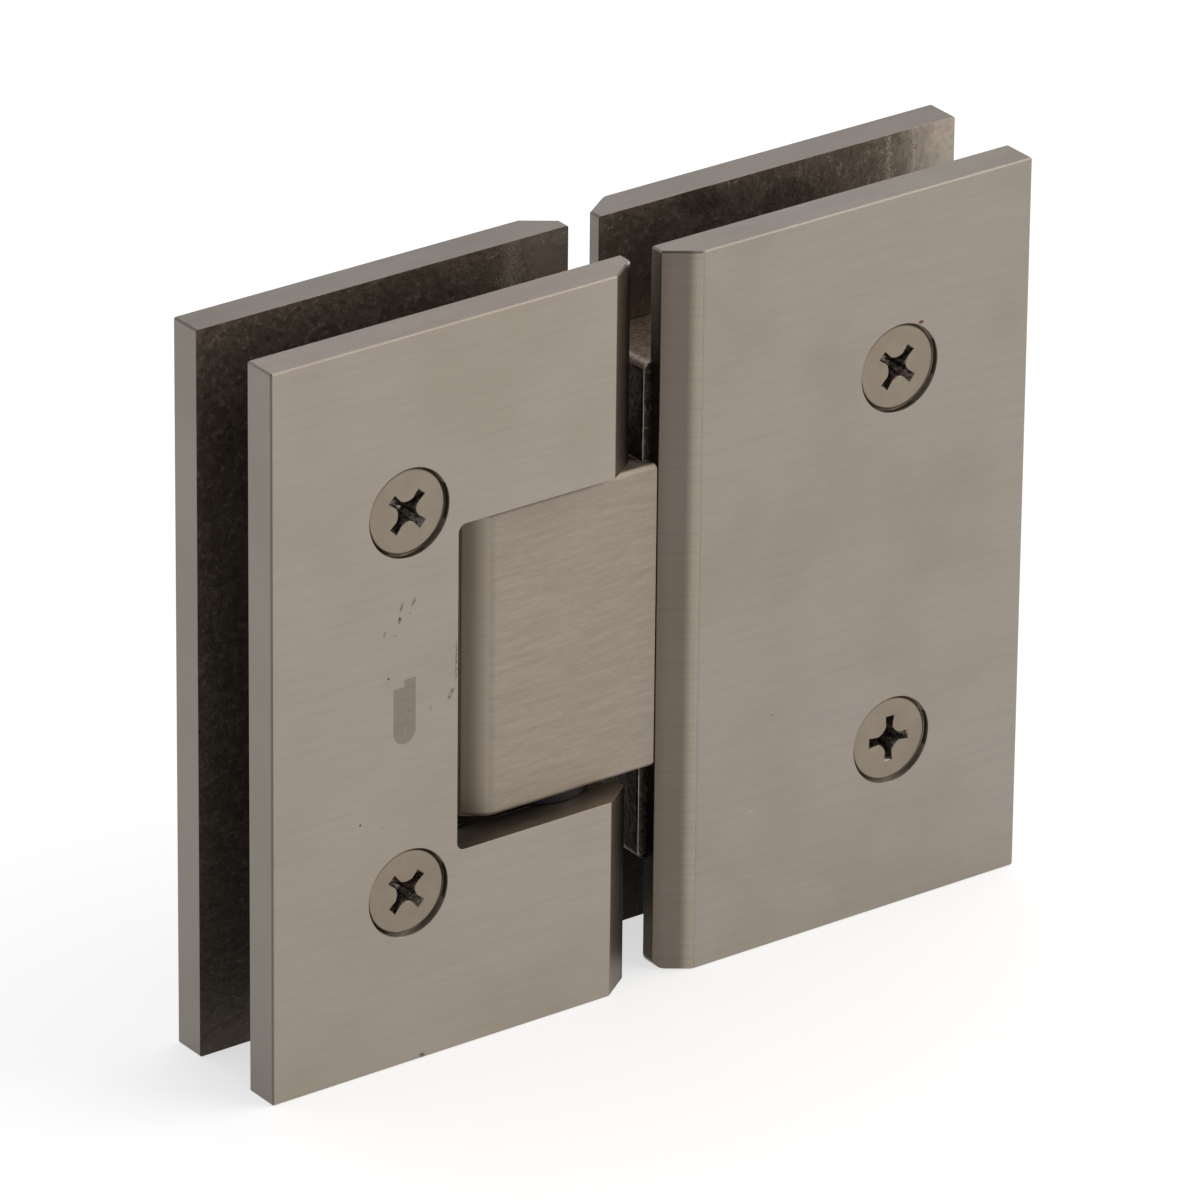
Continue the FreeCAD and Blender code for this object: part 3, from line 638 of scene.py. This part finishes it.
# %% Finishes of the inner faces and the root
DOOR_INNER_SHEEN = [
    # A painted sheen strip
    wear_and_light_mark((-10.00, 38.00), (1.60, 11.00), "#9a9188", 0.8, ragged=True, core=0.2),
]
PANEL_INNER_PATCHES_AND_SHEEN = [
    wear_and_light_mark((16.00, 43.50), (4.20, 2.20), "#4f463d", 0.7, lean=12),
    wear_and_light_mark((22.50, 41.00), (2.80, 4.00), "#6a6056", 0.7, core=0.8),
    wear_and_light_mark((29.00, 40.00), (4.50, 3.20), "#544b42", 0.6, lean=20, core=0.8),
    # Painted sheen towards the outer end, and two painted highlight streaks
    wear_and_light_mark((51.50, 30.00), (8.00, 40.00), "#aaa095", 0.75, core=0.1),
    wear_and_light_mark((43.00, 41.00), (0.50, 6.00), "#a1978c", 0.7, ragged=True),
    wear_and_light_mark((46.50, 40.00), (0.40, 7.00), "#b0a69b", 0.5, ragged=True),
    wear_and_light_mark((1.50, 44.20), (0.60, 0.90), "#d0cac2", 0.8, ragged=True),
]
door_inner = cast_nickel(
    "cast_nickel_door_inner_face", "#71675c", "#665c52", "#665c52",
    swirl=4.0, roughness=0.58, bump_height=0.14, lowest_tone=0.50, marks=DOOR_INNER_SHEEN)
panel_inner = cast_nickel(
    "cast_nickel_panel_inner_face", "#72685d", "#665c51", "#665c51",
    swirl=5.0, roughness=0.55, bump_height=0.14, lowest_tone=0.12, marks=PANEL_INNER_PATCHES_AND_SHEEN)
# Lit and shaded copies: painted shade on the root's front, painted highlights on its corners, painted light
# on its top
root_front_painted_shade = cast_nickel(
    "cast_nickel_root_front_painted_shade", "#352f29", "#241e19", "#352f29",
    swirl=1.2, roughness=0.42, bump_height=0.10, lowest_tone=1.0)
root_skin = cast_nickel(
    "cast_nickel_block_root", "#574e45", "#332b24", "#c9c2b8",
    swirl=1.2, roughness=0.42, bump_height=0.12, lowest_tone=1.0)
root_top_painted_light = cast_nickel(
    "cast_nickel_root_top_painted_light", "#d6c5b4", "#ab9d90", "#d6c5b4",
    swirl=1.0, roughness=0.40, bump_height=0.08, lowest_tone=1.0)
cast_finishes = [door_inner, panel_inner, root_front_painted_shade, root_skin, root_top_painted_light]
print("cast finishes:", len(cast_finishes))

# %% [markdown]
# ## Soft edges
#
# Sharp edges don't exist on polished brass. A belt takes them down by a tenth of a millimetre, and
# that thin round catches the light. Each plate and the block get a merged copy whose sharp edges are
# bevelled, which stands for the CAD node. Flat faces keep flat normals by weighting them by area.
#
# A CAD mesh is loose triangles, so equal corners are joined first, and triangles that lie in one
# plane are dissolved into one face. Only then can a bevel run along a whole edge.


# %% Softened copies
FLAT_ANGLE = 0.4
SHARP_EDGE_ANGLE = 28
EDGE_SEGMENTS = 3


def merged_mesh(name, source):
    """Mesh of a CAD node with equal corners joined: unique rows of the rounded coordinates."""
    points = np.empty(len(source.vertices) * 3, np.float32)
    source.vertices.foreach_get("co", points)
    source.calc_loop_triangles()
    corners = np.empty(len(source.loop_triangles) * 3, np.int32)
    source.loop_triangles.foreach_get("vertices", corners)
    rounded = np.round(points.reshape(-1, 3).astype(float), 7)
    unique, which = np.unique(rounded, axis=0, return_inverse=True)
    triangles = which.reshape(-1)[corners].reshape(-1, 3)
    first, second, third = triangles.T
    distinct = (first != second) & (second != third) & (third != first)
    mesh = bpy.data.meshes.new(name)
    mesh.from_pydata(unique.tolist(), [], triangles[distinct].tolist())
    return mesh


def softened_copy(node, edge_width, materials, chooser):
    """Copy of a node with bevelled edges. chooser gives each face's material from centre and normal."""
    name = node + "_finished"
    mesh = merged_mesh(name, nodes[node].data)
    shape = bmesh.new()
    shape.from_mesh(mesh)
    bmesh.ops.dissolve_limit(
        shape, angle_limit=math.radians(FLAT_ANGLE), verts=shape.verts, edges=shape.edges,
        delimit={"NORMAL"})
    shape.to_mesh(mesh)
    shape.free()
    for material in materials:
        mesh.materials.append(material)
    centres = np.array([tuple(face.center) for face in mesh.polygons])
    normals = np.array([tuple(face.normal) for face in mesh.polygons])
    mesh.polygons.foreach_set("material_index", chooser(centres, normals).astype(np.int32))
    mesh.polygons.foreach_set("use_smooth", np.ones(len(mesh.polygons), bool))
    piece = bpy.data.objects.new(name, mesh)
    bpy.context.scene.collection.objects.link(piece)
    bevel = piece.modifiers.new("soft_edges", "BEVEL")
    bevel.width = edge_width * MM
    bevel.segments = EDGE_SEGMENTS
    bevel.limit_method = "ANGLE"
    bevel.angle_limit = math.radians(SHARP_EDGE_ANGLE)
    bevel.use_clamp_overlap = False
    bevel.miter_outer = "MITER_ARC"
    weighted = piece.modifiers.new("flat_faces", "WEIGHTED_NORMAL")
    weighted.keep_sharp = False
    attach(piece, nodes[node]["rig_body"])
    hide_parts(node)
    return piece


print("edges sharper than", SHARP_EDGE_ANGLE, "degrees are softened")

# %% [markdown]
# Which finish a face gets follows from where it lies and which way it looks. Its normal's X part
# tells a side from a bevel, its Y part a face from an edge, and its centre tells the gap, the notch
# and the glass slot from the outside.


# %% Finish of each face
# A normal's part is above SLANTED on a bevel, above HALF_FACING nearer to its axis than to the
# others, and above SQUARE_ON straight along it
SLANTED = 0.3
SQUARE_ON = 0.9
HALF_FACING = 0.5
# Places in mm
INNER_FACE = 5.0
INNER_MARGIN = 0.6
KNUCKLE_END = 19.3
GAP_SIDE = 2.6
NOTCH_TOP = 21.0


def plate_finishes(centres, normals):
    """0 face, top or bottom, 1 bevel, 2 side, 3 face in the glass slot, 4 side in the gap, 5 notch wall."""
    along = np.abs(normals[:, 0])
    through = np.abs(normals[:, 1])
    upright = np.abs(normals[:, 2])
    finish = np.zeros(len(centres))
    finish[(along > SLANTED) & (through > SLANTED)] = 1
    finish[along > SQUARE_ON] = 2
    finish[(along > SQUARE_ON) & (np.abs(centres[:, 0]) < GAP_SIDE * MM)] = 4
    finish[(upright > SQUARE_ON) & (np.abs(centres[:, 2]) < NOTCH_TOP * MM)] = 5
    finish[(np.abs(centres[:, 1]) < (INNER_FACE + INNER_MARGIN) * MM) & (through > HALF_FACING)] = 3
    return finish


def block_finishes(centres, normals):
    """0 knuckle, 1 its bevels, 2 the root above and below it, 3 far end, 4 root's top, 5 root's front."""
    along = np.abs(normals[:, 0])
    through = np.abs(normals[:, 1])
    finish = np.zeros(len(centres))
    finish[(along > SLANTED) & (through > SLANTED)] = 1
    finish[along > SQUARE_ON] = 3
    in_panel = centres[:, 0] > GAP_SIDE * MM
    in_root = (np.abs(centres[:, 2]) > KNUCKLE_END * MM) | in_panel
    finish[in_root] = 2
    finish[in_root & (normals[:, 2] > SLANTED)] = 4
    finish[in_root & (normals[:, 1] < -SQUARE_ON)] = 5
    return finish


PLATE_EDGE = 0.07
BLOCK_EDGE = 0.2
FINISHES_OF_PLATE = {
    "panel_front_plate": [panel_face, panel_bevel, drawn_side, panel_inner, gap_side, notch_wall],
    "panel_back_plate": [plain_face, panel_bevel, drawn_side, panel_inner, back_gap_side, notch_wall],
    "door_front_plate": [door_face, door_bevel, drawn_side, door_inner, gap_side, notch_wall],
    "door_back_plate": [plain_face, door_back_bevel, drawn_side, door_inner, back_gap_side, notch_wall],
}
for plate_name, finishes in FINISHES_OF_PLATE.items():
    plate = softened_copy(plate_name, PLATE_EDGE, finishes, plate_finishes)
    print(plate.name, len(plate.data.polygons), "faces")
block_materials = [block_face, block_bevel, root_skin, block_end, root_top_painted_light, root_front_painted_shade]
block = softened_copy("hinge_block", BLOCK_EDGE, block_materials, block_finishes)
print(block.name, len(block.data.polygons), "faces")

# %% [markdown]
# ## Clamp screws
#
# Four M6 countersunk screws draw the plates together. Their cross recess is pressed: four wings with
# straight ends, and a rounded nose of metal between each two. The walls slope in towards the floor.
#
# In polar form the recess has a simple outline. Within a wing's tip the radius is that of a straight
# line, half span / cos(angle). Between the wings it is that of a circle about a point on the
# diagonal.


# %% Recess outline
# Lengths in mm
RECESS_HALF_SPAN = 2.85
RECESS_HALF_WING = 0.6
RECESS_NOSE = 1.25
TIP_STEPS = 6
NOSE_STEPS = 14
ON_TIP = 1e-9


def recess_columns():
    """Angles of the columns, in radians, with one at each corner of each wing's tip."""
    tip = math.atan2(RECESS_HALF_WING, RECESS_HALF_SPAN)
    quarter = np.concatenate([
        np.linspace(-tip, tip, TIP_STEPS, endpoint=False),
        np.linspace(tip, math.pi / 2 - tip, NOSE_STEPS, endpoint=False)])
    return np.concatenate([quarter + math.pi / 2 * k for k in range(4)])


def recess_radius(angles):
    """Radius of the recess outline: half span / cos(a) in a tip, else the near side of a circle
    about a point c on the diagonal, c cos(b) - sqrt(radius^2 - c^2 sin(b)^2) with b from the diagonal."""
    tip = math.atan2(RECESS_HALF_WING, RECESS_HALF_SPAN)
    from_wing = (angles + math.pi / 4) % (math.pi / 2) - math.pi / 4
    from_nose = angles % (math.pi / 2) - math.pi / 4
    square = RECESS_HALF_SPAN ** 2 + RECESS_HALF_WING ** 2 - RECESS_NOSE ** 2
    centre = square / (math.sqrt(2) * (RECESS_HALF_SPAN + RECESS_HALF_WING) - 2 * RECESS_NOSE)
    radius = centre - RECESS_NOSE
    line = RECESS_HALF_SPAN / np.cos(from_wing)
    inside = np.maximum(radius ** 2 - (centre * np.sin(from_nose)) ** 2, 0)
    arc = centre * np.cos(from_nose) - np.sqrt(inside)
    return np.where(np.abs(from_wing) <= tip + ON_TIP, line, arc)


print("recess from", RECESS_NOSE, "to", round(recess_radius(recess_columns()).max(), 2), "mm")

# %% [markdown]
# One grid carries the whole screw: columns go round it, and rows go from the middle of the recess
# floor, up its wall, across the head, down the cone and along the thread to the end. A row holds the
# radius and the depth of each column, and the finish of the band of faces that ends there.


# %% Rows of a screw
# Numbers of the three finishes
HEAD_FINISH = 0
RECESS_FINISH = 1
THREAD_FINISH = 2
# Share of the outline and depth in mm, from the middle of the floor to the wall's top
RECESS_FLOOR = ((0.0, 3.0), (0.20, 2.95), (0.42, 2.75))
WALL_TOP_SHARE = 0.98
WALL_TOP_DEPTH = 0.08
# The lip between wall and head starts at a share of the outline and ends LIP_WIDTH outside it
LIP_SHARE = 0.99
LIP_OFFSET = 0.02
LIP_DEPTH = 0.035
LIP_WIDTH = 0.07
WALL_STEPS = 9
TOP_STEPS = 12
ROUND_STEPS = 6
# Lengths of the head, the shank and the thread in mm
HEAD_RADIUS = 5.1
HEAD_ROUND = 0.3
HEAD_ROUND_DEPTH = 0.25
HEAD_CROWN = 0.03
HEAD_EDGE_DEPTH = 0.58
CONE_END_DEPTH = 2.58
CONE_END_ROUND = 0.1
SHANK_START = 2.75
SHANK_RADIUS = 3.0
THREAD_DEPTH = 0.45
THREAD_PITCH = 1.0
THREAD_FLANK = 0.9
STEPS_PER_TURN = 10


def head_rows(angles):
    """Rows of recess, head and cone. The wall and the head's top are straight lines between two rows."""
    outline = recess_radius(angles)
    flat = np.ones_like(angles)
    rows = [(outline * share, flat * depth, RECESS_FINISH) for share, depth in RECESS_FLOOR]
    floor_share, floor_depth = RECESS_FLOOR[-1]
    for climb in np.linspace(0.1, 1.0, WALL_STEPS):
        share = floor_share + (WALL_TOP_SHARE - floor_share) * climb
        depth = floor_depth + (WALL_TOP_DEPTH - floor_depth) * climb
        rows.append((outline * share, flat * depth, RECESS_FINISH))
    rows.append((outline * LIP_SHARE + LIP_OFFSET, flat * LIP_DEPTH, HEAD_FINISH))
    lip = outline + LIP_WIDTH
    rows.append((lip, flat * 0.0, HEAD_FINISH))
    round_start = HEAD_RADIUS - HEAD_ROUND
    for share in np.linspace(0.08, 1.0, TOP_STEPS):
        rows.append((lip * (1 - share) + round_start * share, flat * HEAD_CROWN * share, HEAD_FINISH))
    for turn in np.radians(np.linspace(15, 90, ROUND_STEPS)):
        radius = round_start + HEAD_ROUND * math.sin(turn)
        depth = HEAD_CROWN + HEAD_ROUND_DEPTH * (1 - math.cos(turn))
        rows.append((flat * radius, flat * depth, HEAD_FINISH))
    rows.append((flat * HEAD_RADIUS, flat * HEAD_EDGE_DEPTH, HEAD_FINISH))
    rows.append((flat * (SHANK_RADIUS + CONE_END_ROUND), flat * CONE_END_DEPTH, THREAD_FINISH))
    rows.append((flat * SHANK_RADIUS, flat * SHANK_START, THREAD_FINISH))
    return rows


def thread_rows(angles, start, end):
    """Rows of a thread: radius = shank - depth * w, fading in and out over one pitch at its ends.

    w is 0.5 + THREAD_FLANK * cos(2 pi (depth along / pitch - angle / turn)), kept between 0 and 1.
    """
    rows = []
    for along in np.arange(start, end, THREAD_PITCH / STEPS_PER_TURN):
        phase = along / THREAD_PITCH - angles / (2 * math.pi)
        cut = np.clip(0.5 + THREAD_FLANK * np.cos(2 * math.pi * phase), 0, 1)
        fade = min(1.0, (along - start) / THREAD_PITCH, (end - along) / THREAD_PITCH)
        rows.append((SHANK_RADIUS - THREAD_DEPTH * cut * fade, np.full_like(angles, along), THREAD_FINISH))
    return rows


print("rows from recess to cone:", len(head_rows(recess_columns())))

# %% [markdown]
# The rows become one closed mesh. Its first and last rows have radius 0, so their points are merged
# into poles, and the normals are worked out again so that they point outwards.


# %% Closed surface from rows
MERGE_DISTANCE = 1e-7
SHARP_FACE_ANGLE = 40


def grid_piece(name, rows, at, turn, materials):
    """Closed surface from rows of radii and depths about an axis along Y through at.

    Point = at + (radius * cos(angle - turn), depth, radius * sin(angle - turn)).
    """
    angles = recess_columns()
    around = angles - math.radians(turn)
    radii = np.array([row[0] for row in rows]) * MM
    depths = np.array([row[1] for row in rows]) * MM
    points = np.stack(
        [at[0] + radii * np.cos(around), at[1] + depths, at[2] + radii * np.sin(around)], axis=-1)
    row_count, column_count = radii.shape
    corner = np.arange(row_count * column_count).reshape(row_count, column_count)
    right = np.roll(corner, -1, axis=1)
    quads = np.stack([corner[:-1], right[:-1], right[1:], corner[1:]], axis=-1).reshape(-1, 4)
    finish = np.repeat([row[2] for row in rows[1:]], column_count)
    mesh = bpy.data.meshes.new(name)
    mesh.from_pydata(points.reshape(-1, 3).tolist(), [], quads.tolist())
    for material in materials:
        mesh.materials.append(material)
    mesh.polygons.foreach_set("material_index", finish.astype(np.int32))
    mesh.polygons.foreach_set("use_smooth", np.ones(len(quads), bool))
    shape = bmesh.new()
    shape.from_mesh(mesh)
    bmesh.ops.remove_doubles(shape, verts=shape.verts, dist=MERGE_DISTANCE)
    bmesh.ops.recalc_face_normals(shape, faces=shape.faces)
    shape.to_mesh(mesh)
    shape.free()
    mesh.set_sharp_from_angle(angle=math.radians(SHARP_FACE_ANGLE))
    piece = bpy.data.objects.new(name, mesh)
    bpy.context.scene.collection.objects.link(piece)
    return piece


print("columns round a screw:", len(recess_columns()))

# %% [markdown]
# The heads are nickel plated steel, barrelled rather than brushed: smoother and yellower than the
# plates. Inside the recess the steel is rough from pressing, and its dark and pale grains are painted
# shade and small painted glints.


# %% Screw finishes
def plated_steel(name, colour, dark_colour, roughness, grain, bump_height):
    """Metal with a grainy surface: colour varies between two tones by even noise, grain mm wide."""
    material = bpy.data.materials.new(name)
    material.use_nodes = True
    tree = material.node_tree
    tree.nodes.clear()
    place = add_node(tree, "ShaderNodeTexCoord")
    noise = add_node(tree, "ShaderNodeTexNoise", {
        "Vector": (place, "Object"), "Scale": 1 / (grain * MM), "Detail": 4.0, "Roughness": 0.6})
    tone = add_node(tree, "ShaderNodeMapRange", {"Value": (noise, 0), "From Min": 0.35, "From Max": 0.65})
    colour_mix = add_node(tree, "ShaderNodeMix", {
        MIX_FACTOR: (tone, 0), MIX_A: linear(dark_colour), MIX_B: linear(colour)}, data_type="RGBA")
    grain_bump = add_node(tree, "ShaderNodeBump", {
        "Height": (noise, 0), "Strength": 0.6, "Distance": bump_height * MM})
    metal = add_node(tree, "ShaderNodeBsdfPrincipled", {
        "Base Color": (colour_mix, MIX_RESULT), "Metallic": 1.0, "Roughness": roughness,
        "Normal": (grain_bump, 0)})
    add_node(tree, "ShaderNodeOutputMaterial", {"Surface": (metal, 0)})
    return material


head_nickel = plated_steel(
    "barrelled_nickel_screw_head", "#8d8273", "#877b6d", roughness=0.30, grain=3.0, bump_height=0.004)
# Painted shade in the recess, with pale grains as painted glints
recess_shade_and_glints = plated_steel(
    "pressed_steel_recess", "#b3aba1", "#2b2724", roughness=0.38, grain=0.35, bump_height=0.08)
thread_steel = plated_steel(
    "nickel_plated_thread", "#8d857b", "#6d665e", roughness=0.35, grain=0.8, bump_height=0.01)
screw_finishes = [head_nickel, recess_shade_and_glints, thread_steel]
print("screw finishes:", len(screw_finishes))

# %% The four clamp screws
# How far each screw was turned when it came tight, in degrees
RECESS_TURNS = {
    "door_clamp_screw_upper": 43.0,
    "door_clamp_screw_lower": 45.0,
    "panel_clamp_screw_upper": 41.0,
    "panel_clamp_screw_lower": 2.0,
}
THREAD_START = 2.8
END_CHAMFER = 0.5
for screw_name, turn in RECESS_TURNS.items():
    low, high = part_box(screw_name)
    at = ((low.x + high.x) / 2, low.y, (low.z + high.z) / 2)
    columns = recess_columns()
    length = (high.y - low.y) / MM
    rows = head_rows(columns) + thread_rows(columns, THREAD_START, length - END_CHAMFER)
    flat = np.ones_like(columns)
    rows.append((flat * (SHANK_RADIUS - END_CHAMFER), flat * length, THREAD_FINISH))
    rows.append((flat * 0, flat * length, THREAD_FINISH))
    screw = grid_piece(screw_name + "_turned", rows, at, turn, screw_finishes)
    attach(screw, nodes[screw_name]["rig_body"])
    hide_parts(screw_name)
    print(screw.name, len(screw.data.polygons), "faces")

# %% [markdown]
# ## Pieces inside
#
# The pin, bushes, plungers, springs and grub screws show only when the door stands open, so their
# CAD shapes stay and get the finish of the real pieces: turned stainless steel, black acetal and
# amber polyurethane.


# %% Finishes of the inner pieces
def plastic(name, colour, roughness, see_through):
    """Moulded or cast plastic with a faint uneven tone and a fine orange-peel bump."""
    material = bpy.data.materials.new(name)
    material.use_nodes = True
    tree = material.node_tree
    tree.nodes.clear()
    place = add_node(tree, "ShaderNodeTexCoord")
    noise = add_node(tree, "ShaderNodeTexNoise", {"Vector": (place, "Object"), "Scale": 900.0, "Detail": 3.0})
    level = add_node(tree, "ShaderNodeMapRange", {"Value": (noise, 0), "To Min": 0.85, "To Max": 1.15})
    tone = add_node(tree, "ShaderNodeVectorMath", {
        0: linear(colour)[:3], "Scale": (level, 0)}, operation="SCALE")
    peel = add_node(tree, "ShaderNodeBump", {"Height": (noise, 0), "Strength": 0.3, "Distance": 0.02 * MM})
    body = add_node(tree, "ShaderNodeBsdfPrincipled", {
        "Base Color": (tone, 0), "Roughness": roughness, "Subsurface Weight": see_through,
        "Normal": (peel, 0)})
    add_node(tree, "ShaderNodeOutputMaterial", {"Surface": (body, 0)})
    return material


turned_steel = plated_steel(
    "turned_stainless_steel", "#9a9792", "#85827e", roughness=0.28, grain=0.6, bump_height=0.01)
acetal = plastic("black_acetal", "#151517", roughness=0.55, see_through=0.0)
urethane = plastic("amber_polyurethane", "#b5742a", roughness=0.35, see_through=0.2)
FINISH_OF_SLOT = {"steel": turned_steel, "bush_plastic": acetal, "spring_urethane": urethane}
inner_parts = [part for part in frame["record"]["subparts"] if part["material_slot"] in FINISH_OF_SLOT]
for part in inner_parts:
    mesh = nodes[part["node"]].data
    mesh.materials.clear()
    mesh.materials.append(FINISH_OF_SLOT[part["material_slot"]])
print("finished inner pieces:", len(inner_parts))
